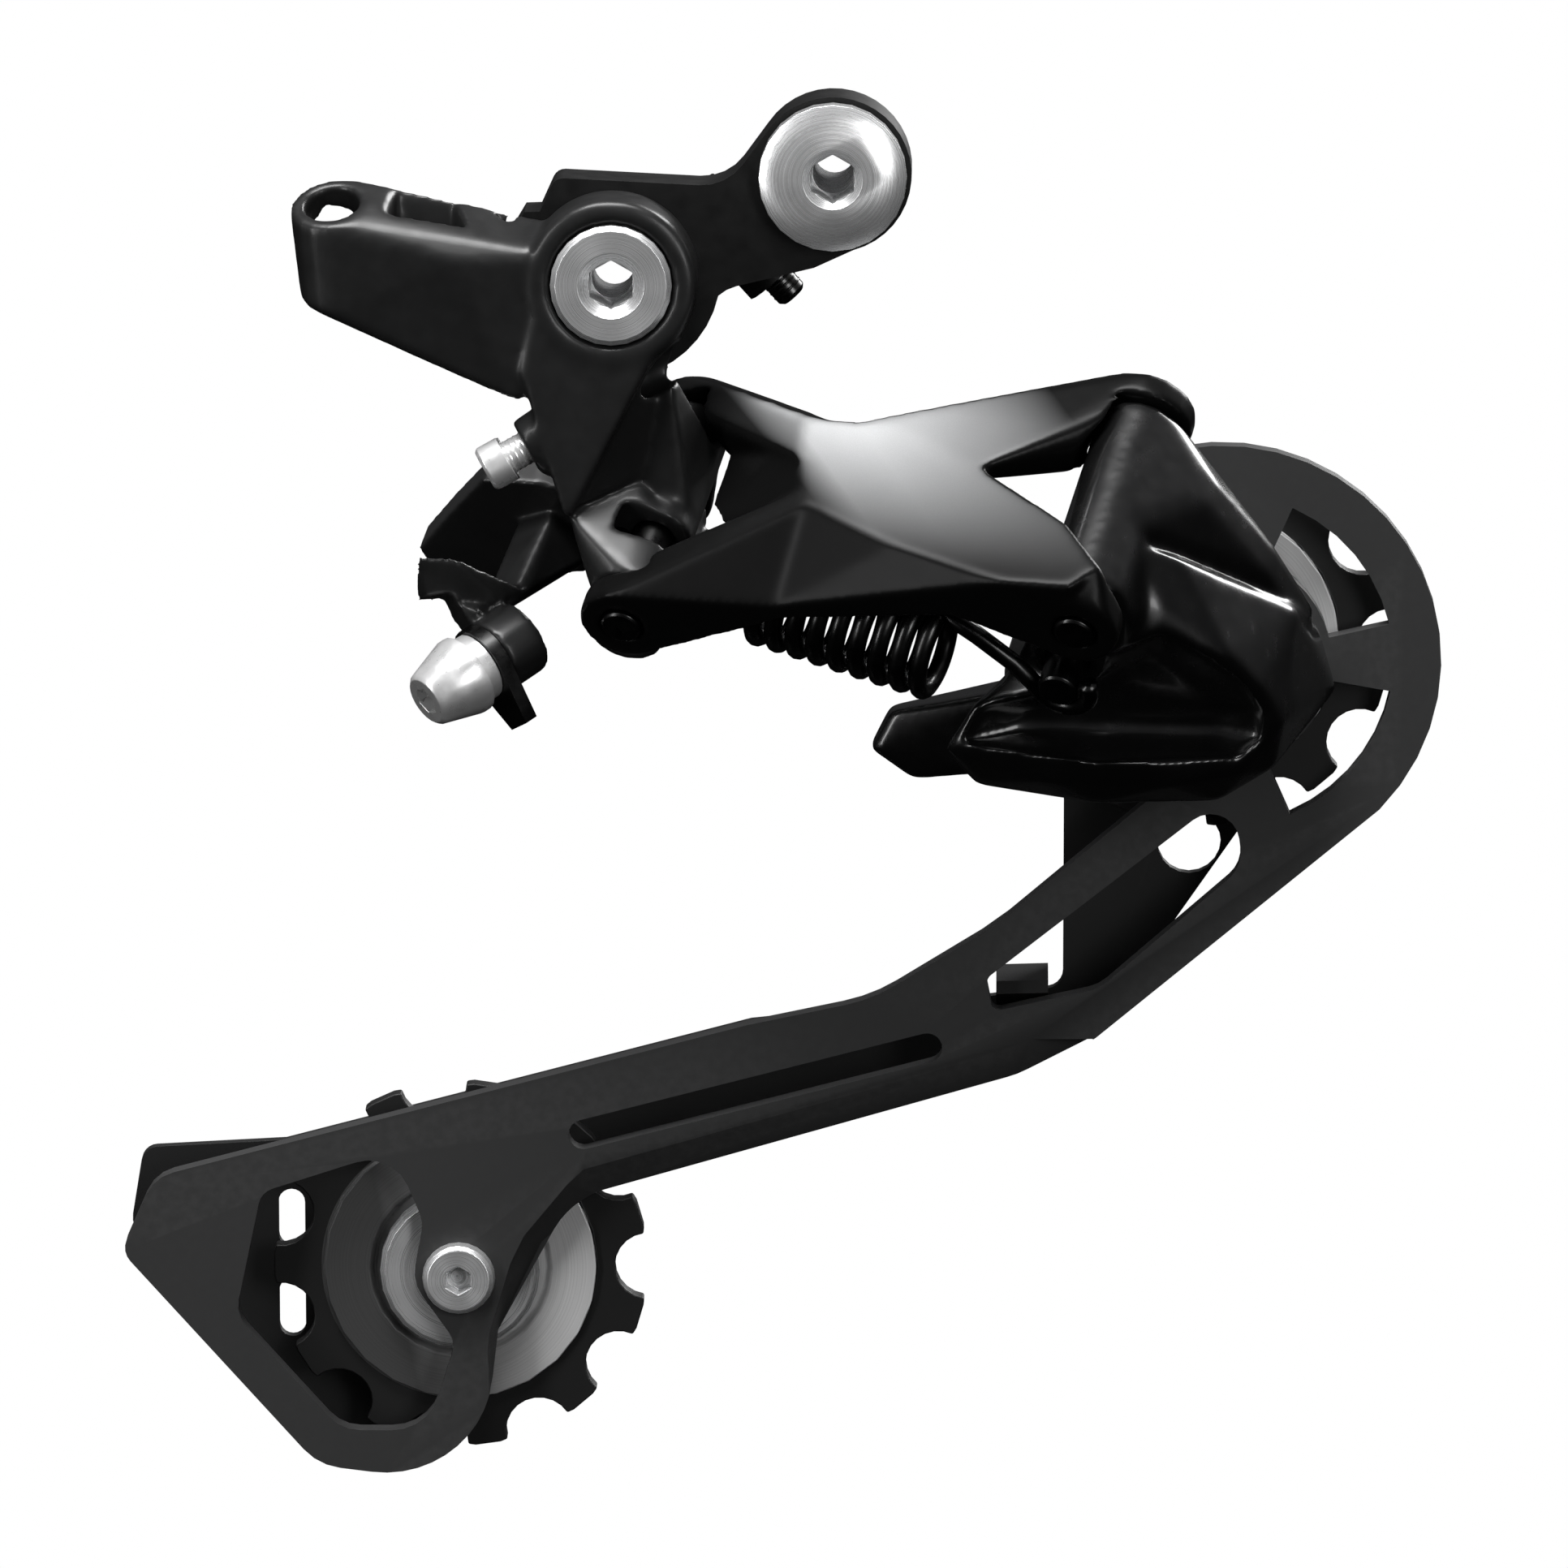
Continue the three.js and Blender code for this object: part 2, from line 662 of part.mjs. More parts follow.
function wireAlong(points, radius, segments) {
  const path = new THREE.CatmullRomCurve3(points, false, "centripetal");
  const section = new THREE.Shape().absarc(0, 0, radius, 0, 2 * Math.PI);
  const options = { extrudePath: path, steps: segments, curveSegments: 3, bevelEnabled: false };
  return new THREE.ExtrudeGeometry(section, options);
}

function returnSpring() {
  return wireAlong(springPath(), COIL.wire, 130);
}

// ---- P-knuckle ----

const BARREL = { radius: 12.4, nose: 9.4, front: -20, back: 1.2, floor: -16, wall: 1.6 };

function pKnuckle() {
  const { x, z } = CAGE_PIVOT;
  const { radius, nose, wall } = BARREL;
  const barrel = turned([
    [BARREL.front, nose - 1.2],
    [BARREL.front + 1.6, nose],
    [-2, radius],
    [BARREL.back, radius],
  ]);
  const shell = hull([
    at(29, -28, -38.4),
    at(35, -30.4, -38.9),
    at(40.3, -28, -41),
    at(44, -25, -43.4),
    at(54.4, -14, -49.8),
    at(37.8, -31, -45.6),
    at(37.3, -31.6, -51),
    at(30, -31.4, -59.4),
    at(46.2, -28.6, -52.6),
    at(50, -25.2, -57),
    at(52.6, -21.6, -62),
    at(51.8, -17, -68.4),
    at(48, -22.8, -67.6),
    at(40, -25, -68.6),
    at(26, -25, -68.4),
    at(13, -21.6, -65.4),
    at(31, -20.5, -72),
    at(45.3, -17, -72.4),
    at(16.8, -18.4, -70.2),
    at(57.2, -3, -54.4),
    at(59.4, -4, -61.8),
    at(57, 1.2, -55.2),
    at(59, 1.2, -62),
    at(51.4, 1.2, -71),
    at(31, 1.2, -74.4),
    at(18.4, -8, -71),
    at(36, 1.2, -48),
  ]);
  const pinBoss = hull(boss(LINK_LENGTH, 0, KNUCKLE_SPAN, 5.2));
  const lobe = hull(
    boss(LINK_LENGTH, 0, [15, 32.7], 5.2),
    ball(at(40, -18, -36.6), PIN, 5.6),
    ball(at(47.4, -12.4, -46), PIN, 5.6),
    ball(at(53, -8, -52), PIN, 3.6),
    [at(54.8, 1.2, -53), at(42, 1.2, -46), at(36, 1.2, -46.5), at(34, 1.2, -52)],
  );
  const cheek = hull(boss(LINK_LENGTH, 0, [4.3, 24], 5), [
    at(30, -31, -57),
    at(27, -24, -60),
    at(38, -27, -50),
    at(36, -14, -50),
  ]);
  const innerEars = hull(
    boss(LINK_LENGTH, 0, INNER_HIGH_EAR, 4.6),
    boss(...FRONT_INNER, INNER_HIGH_EAR, HUB_RADIUS),
  );
  const lowInner = hull(boss(...FRONT_INNER, [5.6, 18], HUB_RADIUS));
  const tail = hull([
    at(4.4, -8, -68.4),
    at(4.4, -4, -68.4),
    at(9.6, -8.4, -72),
    at(9.6, -4, -72),
    at(6.8, -8, -63.6),
    at(6.8, -4, -63.6),
    at(22, -12, -60),
    at(22, -4, -60),
    at(24, -12, -70),
    at(24, -4, -70),
  ]);
  const rim = [
    at(38.4, -30, -49.6),
    at(44.6, -28, -53.4),
    at(48.2, -25, -57),
    at(50.4, -22.4, -60.8),
    at(50.2, -21.6, -63.8),
    at(47.4, -22.6, -65.8),
    at(31, -25, -66),
    at(15.4, -22, -64.4),
    at(17.4, -22, -60.4),
    at(30, -33, -58),
  ];
  const mouth = rim.map((place) => place.clone().add(at(0, -12, 2.6)));
  const floor = rim.map((place) => place.clone().lerp(at(34, -16, -61), 0.34));
  const slideway = hull(boss(LINK_LENGTH, 0, [-2, 4.2], 9));
  const hubSpan = [18.1, 29.9];
  const hubRoom = hull(boss(...FRONT_INNER, hubSpan, 5.4), boss(-10, FRONT_INNER[1], hubSpan, 5.4));
  const springRoom = hull(boss(20, 4, [-6, 16], 8), boss(...FRONT_INNER, [1.2, 5.4], 6));
  const cavity = turned([[BARREL.floor, nose - 1], [-2, radius - wall], [9, radius - wall]], 5.9);
  const bore = turned([[-18.2, 5.6], [9, 5.6]]);
  const casting = join(barrel.translate(x, 0, z), shell, lobe, pinBoss, cheek, tail);
  const earRoom = hull(boss(LINK_LENGTH, 0, [32.8, 38], 6.8), boss(30, -6, [32.8, 38], 6.8));
  const hollowed = cut(casting, hull(mouth, rim), hull(rim, floor), slideway, springRoom, hubRoom, earRoom);
  return cut(
    join(hollowed, innerEars, lowInner),
    hubRoom,
    cavity.translate(x, 0, z),
    bore.translate(x, 0, z),
    pinBar(LINK_LENGTH, 0, [-5, 45], PIN_RADIUS + 0.02),
    pinBar(...FRONT_INNER, [-5, 45], PIN_RADIUS + 0.02),
  );
}

const atCagePivot = (geometry) => geometry.translate(CAGE_PIVOT.x, 0, CAGE_PIVOT.z);

function axleBush() {
  return atCagePivot(turned([[-17.8, 5.5], [0.6, 5.5]], 4.1));
}

function cageSpring() {
  const turns = 5;
  const steps = turns * 14;
  const path = Array.from({ length: steps + 1 }, (_, i) => {
    const angle = (2 * Math.PI * turns * i) / steps;
    const y = THREE.MathUtils.lerp(-14.6, -1.4, i / steps);
    return at(7.2 * Math.cos(angle), y, 7.2 * Math.sin(angle));
  });
  return atCagePivot(wireAlong(path, 0.95, 66));
}

function axleSeal() {
  return atCagePivot(turned([[1.3, 11.6], [1.9, 11.6]], 9.6));
}

// ---- Cage ----

const roundHole = (centre, radius) => circle(centre.x, centre.z, radius);

// A window along a ring around the guard's centre, in degrees.
const guardSlot = (inner, outer, from, to) => [
  ...arc(GUARD.x, GUARD.z, outer, from, to),
  ...arc(GUARD.x, GUARD.z, inner, to, from),
];

function cageOuterPlate() {
  const corners = [
    [-81.2, -123.2, 5],
    [-10.3, -104.2],
    [4.6, -101, 20],
    [19.4, -91.8, 26],
    [38.4, -75.6],
    ...arc(CAGE_PIVOT.x, CAGE_PIVOT.z, 14.4, 235, 150),
    ...arc(GUARD.x, GUARD.z, GUARD_RADIUS, 110, -43.5),
    [30.8, -106, 6],
    [22, -110.6, 14],
    [-31.4, -126.2, 10],
    [-40.2, -142.4],
    [-42.4, -161.2, 13],
    [-61.8, -158.8, 7],
    [-85.2, -132.4, 2.5],
  ];
  const loop = [
    [-68.4, -125, 2.5],
    [-52.6, -119.8, 5],
    [-49, -128.6, 4],
    [-50.4, -136, 5],
    [-45.2, -143.4, 3],
    [-48.6, -154.4, 6],
    [-59, -154.4, 5],
    [-71.6, -140.2, 4],
  ];
  const window = [
    [18.2, -98.4, 1.2],
    [19, -102.4, 1],
    [31.6, -99.6, 5],
    [48.6, -84.6, 4],
    [47.4, -75.2, 3.4],
  ];
  const body = plate(corners, OUTER_PLATE, [
    loop,
    window,
    slot([-29.8, -117.7], [11.2, -106.9], 1.8),
    guardSlot(13, 20.3, 13, 66),
    guardSlot(13, 20.3, -66, -10),
    roundHole(CAGE_PIVOT, 4.05),
    roundHole(GUIDE, 2.55),
    roundHole(TENSION, 2.55),
  ]);
  const lowerEdge = [
    [31, -105.9, 0.2],
    [21.8, -110.7, 3.6],
    [-28.6, -125.4, 3.6],
    [-35, -131.6, 2.4],
    [-40.2, -142.4, 1],
    [-41, -150, 0.2],
  ];
  return cut(body, ...slopes(lowerEdge));
}

// Tools that slope the outboard face down to an edge. Each corner is [x, z, width of the slope].
function slopes(corners) {
  const { y0, y1 } = OUTER_PLATE;
  const root = y1 - 0.3;
  const wedges = corners.map(([x, z, width], i) => {
    const [x0, z0] = corners[Math.max(i - 1, 0)];
    const [x1, z1] = corners[Math.min(i + 1, corners.length - 1)];
    const run = Math.hypot(x1 - x0, z1 - z0);
    const [nx, nz] = [(z0 - z1) / run, (x1 - x0) / run];
    const place = (out, y) => at(x + nx * out, y, z + nz * out);
    const inner = -width - width / (root - y0);
    return [place(0, root), place(4, root), place(4, y0 - 1), place(inner, y0 - 1)];
  });
  return wedges.slice(1).map((wedge, i) => hull(wedges[i], wedge));
}

function cageInnerPlate() {
  const corners = [
    [-83.2, -122.4, 2],
    [-66, -121.4],
    [-10, -106.4],
    [19, -103.2],
    [27.4, -102, 2],
    [27.4, -70],
    ...arc(GUIDE.x, GUIDE.z, 17.6, 215, -40),
    [32.4, -106, 16],
    [14, -114],
    [-31, -126, 12],
    [-39.6, -142.4],
    [-42.4, -161, 13],
    [-62.2, -158.4, 7],
    [-84.8, -132, 3],
  ];
  const ovals = [-131.1, -142.2].map((z) => slot([-65.4, z - 2], [-65.4, z + 2], 1.6));
  const body = plate(corners, INNER_PLATE, [
    ...ovals,
    circle(42.4, -84.2, 3.8),
    roundHole(GUIDE, 2.55),
    roundHole(TENSION, 2.55),
  ]);
  const keeper = hull(
    [at(19.4, 13.8, -99.4), at(25.6, 13.8, -99.2), at(19.4, 13.8, -104.6), at(25.6, 13.8, -104.6)],
    [at(19.4, 5, -99.4), at(25.6, 5, -99.2), at(19.4, 5, -101), at(25.6, 5, -100.8)],
  );
  return join(body, keeper);
}

function cageAxle() {
  const body = turned([
    [-18.1, 3.6],
    [-17.7, 4],
    [0.8, 4],
    [0.8, 5.4],
    [1.95, 5.4],
    [1.95, 4],
    [OUTER_PLATE.y1, 4],
  ]);
  const groove = turned([[-17.2, 5], [-16.2, 5]], 3.3);
  return atCagePivot(cut(body, groove));
}

function stopPin() {
  const { x, z } = CAGE_PIVOT;
  const [[px, pz]] = arc(x, z, 15.5, 105, 106);
  return turned([[-3.4, 1.6], [-0.05, 1.6]], 0, 16).translate(px, OUTER_PLATE.y0, pz);
}

function pulley(centre) {
  const profile = [];
  for (let tooth = 0; tooth < PULLEY_TEETH; tooth++) {
    const angle = (360 * tooth) / PULLEY_TEETH;
    const turn = (p) => new THREE.Vector2(...p).rotateAround(new THREE.Vector2(), degrees(angle));
    const gullet = arc(PULLEY_PITCH_RADIUS, 0, ROLLER_RADIUS, 262, 98);
    const crest = arc(0, 0, PULLEY_TIP_RADIUS, 12.5, 20.2);
    profile.push(...[...gullet, ...crest].map(turn));
  }
  const corners = profile.map((p) => [p.x, p.y]);
  const teeth = plate(corners, { y0: -1.15, y1: 1.15 });
  const body = turned([
    [-2.2, 6],
    [-2.2, 7.6],
    [-1.2, 8.6],
    [-1.2, 10.4],
    [-2.1, 11],
    [-1.9, 16.4],
    [1.9, 16.4],
    [2.1, 11],
    [1.2, 10.4],
    [1.2, 8.6],
    [2.2, 7.6],
    [2.2, 6],
  ]);
  const bore = turned([[-4, 4.3], [4, 4.3]]);
  return cut(join(teeth, body), bore).translate(...centre);
}

// A bush that the pulley turns on. The guide pulley's is shorter, so that it can float along its bolt.
function pulleyBush(centre, half) {
  return turned([[-half, 4.2], [half, 4.2]], 2.62, 20).translate(...centre);
}

// A pressed cap beside the pulley. `side` is -1 outboard and 1 inboard.
function dustCap(centre, side) {
  const profile = [
    [1.9, 9.6],
    [3.7, 9.6],
    [4.3, 9],
  ];
  const inner = turned([[1, 8.9], [3.4, 8.9]]);
  const cup = cut(turned(profile), inner, turned([[0, 2.62], [6, 2.62]], 0, 20));
  if (side < 0) cup.rotateX(Math.PI);
  return cup.translate(...centre);
}

// A cap screw through both plates. `side` is the side its head is on, -1 outboard and 1 inboard.
function pulleyBolt(centre, side) {
  const [near, far] = [OUTER_PLATE.y0 - PULLEY_PLANE, INNER_PLATE.y1 - PULLEY_PLANE];
  const seat = side < 0 ? -near : far;
  const tip = side < 0 ? -far : near;
  const body = turned([
    [tip, 2.1],
    [tip + 0.4, 2.5],
    [seat + 0.05, 2.5],
    [seat + 0.05, 4.4],
    [seat + 1.3, 4.2],
    [seat + 1.7, 3.7],
  ]);
  const bolt = cut(body, hexSocket(3, seat - 0.6, seat + 3));
  if (side < 0) bolt.rotateX(Math.PI);
  return bolt.translate(...centre);
}

// ---- Assembly ----

const finish = (colour, roughness, metalness) =>
  new THREE.MeshStandardMaterial({ color: colour, roughness, metalness });

const BLACK_PAINT = finish(0x101012, 0.3, 0.1);
const SATIN_BLACK = finish(0x1d1d20, 0.5, 0.2);
const GREY_PAINT = finish(0x55565a, 0.35, 0.4);
const ANODISED = finish(0x333336, 0.5, 0.5);
const RESIN = finish(0x141415, 0.6, 0);
const STEEL = finish(0xc2c3c6, 0.3, 1);
const DARK_STEEL = finish(0x2a2a2c, 0.35, 0.8);
const BRONZE = finish(0x9c7a4a, 0.5, 0.7);
const RUBBER = finish(0x0c0c0c, 0.9, 0);

const derailleur = new THREE.Group();
derailleur.position.x = -SHOULDER_MIDDLE;

function add(name, geometry, material) {
  const mesh = new THREE.Mesh(geometry, material);
  mesh.name = name;
  derailleur.add(mesh);
}

add("hanger_bolt", hangerBolt(), STEEL);
add("hanger_bush", hangerBush(), BRONZE);
add("bracket_arm", bracketArm(), BLACK_PAINT);
add("stop_screw", stopScrew(), DARK_STEEL);
add("b_pivot_bolt", bPivotBolt(), STEEL);
add("b_pivot_bush", bPivotBush(), BRONZE);
add("b_knuckle", bKnuckle(), SATIN_BLACK);
add("high_limit_screw", limitScrew(0), STEEL);
add("low_limit_screw", limitScrew(1), STEEL);
add("outer_link", outerLink(), GREY_PAINT);
add("inner_link", innerLink(), SATIN_BLACK);
add("rear_outer_pin", pinBody([0, 0], [-0.4, 36.9]), DARK_STEEL);
add("rear_inner_pin", pinBody(INNER_OFFSET, [8.8, 34]), DARK_STEEL);
add("front_outer_pin", pinBody([LINK_LENGTH, 0], [-0.4, 36.9]), DARK_STEEL);
add("front_inner_pin", pinBody(FRONT_INNER, [0.8, 34]), DARK_STEEL);
add("return_spring", returnSpring(), DARK_STEEL);
add("cable_bolt", cableBolt(), STEEL);
add("cable_washer", cableWasher(), DARK_STEEL);
add("p_knuckle", pKnuckle(), BLACK_PAINT);
add("axle_bush", axleBush(), BRONZE);
add("cage_spring", cageSpring(), DARK_STEEL);
add("axle_seal", axleSeal(), RUBBER);
add("cage_axle", cageAxle(), STEEL);
add("cage_outer_plate", cageOuterPlate(), ANODISED);
add("cage_inner_plate", cageInnerPlate(), ANODISED);
add("stop_pin", stopPin(), STEEL);
for (const [name, centre, head, bushHalf] of [
  ["guide", GUIDE, 1, 2.85],
  ["tension", TENSION, -1, 3.3],
]) {
  add(`${name}_pulley`, pulley(centre), RESIN);
  add(`${name}_bush`, pulleyBush(centre, bushHalf), STEEL);
  add(`${name}_cap_outer`, dustCap(centre, -1), STEEL);
  add(`${name}_cap_inner`, dustCap(centre, 1), STEEL);
  add(`${name}_bolt`, pulleyBolt(centre, head), STEEL);
}

export default derailleur;
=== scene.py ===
# The looks of the rear derailleur: castings, springs, threads, finishes, studio and camera.
# Metres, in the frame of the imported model.

import json
import math

import bmesh
import bpy
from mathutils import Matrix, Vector


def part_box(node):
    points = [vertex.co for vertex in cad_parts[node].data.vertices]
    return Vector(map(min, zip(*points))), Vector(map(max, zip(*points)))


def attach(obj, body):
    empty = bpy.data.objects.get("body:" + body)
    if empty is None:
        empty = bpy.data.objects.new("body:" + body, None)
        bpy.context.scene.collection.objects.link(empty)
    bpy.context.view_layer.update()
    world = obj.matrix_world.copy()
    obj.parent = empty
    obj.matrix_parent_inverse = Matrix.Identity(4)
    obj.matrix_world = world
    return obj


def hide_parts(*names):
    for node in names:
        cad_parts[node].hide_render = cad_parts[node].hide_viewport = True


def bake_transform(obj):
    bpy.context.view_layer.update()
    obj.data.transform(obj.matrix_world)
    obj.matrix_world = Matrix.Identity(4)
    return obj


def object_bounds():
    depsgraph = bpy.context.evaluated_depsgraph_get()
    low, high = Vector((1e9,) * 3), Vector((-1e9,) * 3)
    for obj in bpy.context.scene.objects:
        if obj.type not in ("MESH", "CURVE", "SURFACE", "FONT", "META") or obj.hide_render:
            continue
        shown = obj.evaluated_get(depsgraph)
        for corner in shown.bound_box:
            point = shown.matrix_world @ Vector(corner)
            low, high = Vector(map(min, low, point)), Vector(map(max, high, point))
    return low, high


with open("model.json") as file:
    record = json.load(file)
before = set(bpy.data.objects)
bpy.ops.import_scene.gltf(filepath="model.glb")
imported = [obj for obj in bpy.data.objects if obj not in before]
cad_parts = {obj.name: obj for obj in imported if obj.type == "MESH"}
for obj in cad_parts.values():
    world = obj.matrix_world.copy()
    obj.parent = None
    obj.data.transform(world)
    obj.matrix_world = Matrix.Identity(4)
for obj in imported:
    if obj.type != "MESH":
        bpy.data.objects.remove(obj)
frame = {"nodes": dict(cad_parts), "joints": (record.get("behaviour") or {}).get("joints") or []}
NODES = frame["nodes"]
JOINTS = {joint["name"]: joint for joint in frame["joints"]}

# ---- Driving values ----

MM = 0.001
FLOOR_DROP = 0.16  # the object hangs, and its cage swings this far down at some poses
SHEEN_RING_RADIUS = 16.5 * MM  # the grey ring on each pulley's face; its grey is partly the ring's own tone, partly a painted sheen
VOXEL = 0.32 * MM  # grain of the remade castings
WELD_GAP = 0.002 * MM
FLAT_ANGLE = math.radians(0.6)  # neighbouring triangles within this angle are one flat face
SHARP_ANGLE = math.radians(32)  # edges sharper than this get a round
THREAD_SIDES = 40
WIRE_SIDES = 12

# The return spring: wire and coil radii, turns, and the coil's share of the way between the pins.
COIL = {"wire": 1.1 * MM, "radius": 5.8 * MM, "turns": 9, "from": 0.27, "length": 0.45}
HOOK_RADIUS = 3.8 * MM
REAR_HOOK_HEIGHT = 12.3 * MM  # up the rear outer pin
FRONT_HOOK_INSET = 1.6 * MM  # in from the lower end of the front inner pin
CAGE_COIL = {"wire": 0.95 * MM, "turns": 5}

# Soft lights: name, way from the object's middle, width, height and watts.
LIGHTS = (
    ("key", (-0.1, -0.2, 0.8), 0.5, 0.35, 12),
    ("rim", (0.45, 0.5, 0.4), 0.3, 0.5, 7),
    ("left", (-0.7, -0.55, 0.25), 0.12, 0.7, 3),
    ("front", (0.5, -0.9, 0.3), 0.25, 0.5, 3),
)

# The camera looks at a point below the hanger bolt, from a little to the right and above.
SENSOR_WIDTH = 36
LENS = 290.7
VIEW_DISTANCE = 1.5
VIEW_TURN = math.radians(1)
VIEW_RISE = math.radians(12.5)
VIEW_SHIFT = Vector((-0.005823, 0, -0.074305))


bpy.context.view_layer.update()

# ---- Places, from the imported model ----

LINK_PIN = Vector(JOINTS["link_swing"]["axis"])
REAR_OUTER = Vector(JOINTS["link_swing"]["pos_m"])
FRONT_OUTER = Vector(JOINTS["knuckle_swing"]["pos_m"])
LINK = (FRONT_OUTER - REAR_OUTER).normalized()
SWING = LINK_PIN.cross(LINK)
CAGE_PIVOT = Vector(JOINTS["cage_pivot"]["pos_m"])
LIMIT_AXIS = Vector(JOINTS["high_limit_travel"]["axis"])
STOP_AXIS = Vector(JOINTS["stop_screw_travel"]["axis"])
SIDEWAYS = Vector((0, 1, 0))


def centre(node):
    low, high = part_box(node)
    return (low + high) / 2


def extent(node, axis, origin):
    """The lowest and highest distance of a node's points along an axis."""
    along = [(vertex.co - origin).dot(axis) for vertex in NODES[node].data.vertices]
    return min(along), max(along)


# ---- Mesh helpers ----


def mesh_object(name, vertices, faces):
    mesh = bpy.data.meshes.new(name)
    mesh.from_pydata(vertices, [], faces)
    mesh.update()
    piece = bpy.data.objects.new(name, mesh)
    bpy.context.scene.collection.objects.link(piece)
    return piece


def smooth(piece):
    for polygon in piece.data.polygons:
        polygon.use_smooth = True


def baked(piece):
    """The piece with its modifiers applied."""
    depsgraph = bpy.context.evaluated_depsgraph_get()
    mesh = bpy.data.meshes.new_from_object(piece.evaluated_get(depsgraph))
    piece.modifiers.clear()
    piece.data = mesh
    smooth(piece)
    return piece


def across(axis):
    """Two directions square to an axis and to each other."""
    first = axis.orthogonal().normalized()
    return first, axis.cross(first)


def lathe(name, origin, axis, profile):
    """A closed turned piece from [distance, radius] points in millimetres."""
    sides = THREAD_SIDES
    u, w = across(axis)
    vertices, faces = [], []
    for distance, radius in profile:
        for i in range(sides):
            angle = 2 * math.pi * i / sides
            spoke = u * math.cos(angle) + w * math.sin(angle)
            vertices.append(origin + axis * distance * MM + spoke * radius * MM)
    rings = len(profile)
    for ring in range(rings):
        for i in range(sides):
            j = (i + 1) % sides
            a, b = ring * sides, (ring + 1) % rings * sides
            faces.append((a + i, a + j, b + j, b + i))
    piece = mesh_object(name, vertices, faces)
    tidy_normals(piece)
    smooth(piece)
    return piece


def tidy_normals(piece):
    edit = bmesh.new()
    edit.from_mesh(piece.data)
    bmesh.ops.recalc_face_normals(edit, faces=edit.faces)
    edit.to_mesh(piece.data)
    edit.free()


def swept(name, path, radius):
    """A wire along a path, with closed ends."""
    sides = WIRE_SIDES
    vertices, faces = [], []
    tangent = (path[1] - path[0]).normalized()
    side = tangent.orthogonal().normalized()
    for i, point in enumerate(path):
        ahead = path[min(i + 1, len(path) - 1)] - path[max(i - 1, 0)]
        tangent = ahead.normalized()
        side = (side - tangent * side.dot(tangent)).normalized()
        up = tangent.cross(side)
        for k in range(sides):
            angle = 2 * math.pi * k / sides
            vertices.append(point + (side * math.cos(angle) + up * math.sin(angle)) * radius)
    for i in range(len(path) - 1):
        for k in range(sides):
            n = (k + 1) % sides
            a, b = i * sides, (i + 1) * sides
            faces.append((a + k, a + n, b + n, b + k))
    faces.append(tuple(range(sides)))
    faces.append(tuple(range(len(vertices) - sides, len(vertices))))
    piece = mesh_object(name, vertices, faces)
    tidy_normals(piece)
    smooth(piece)
    return piece


# ---- Materials ----


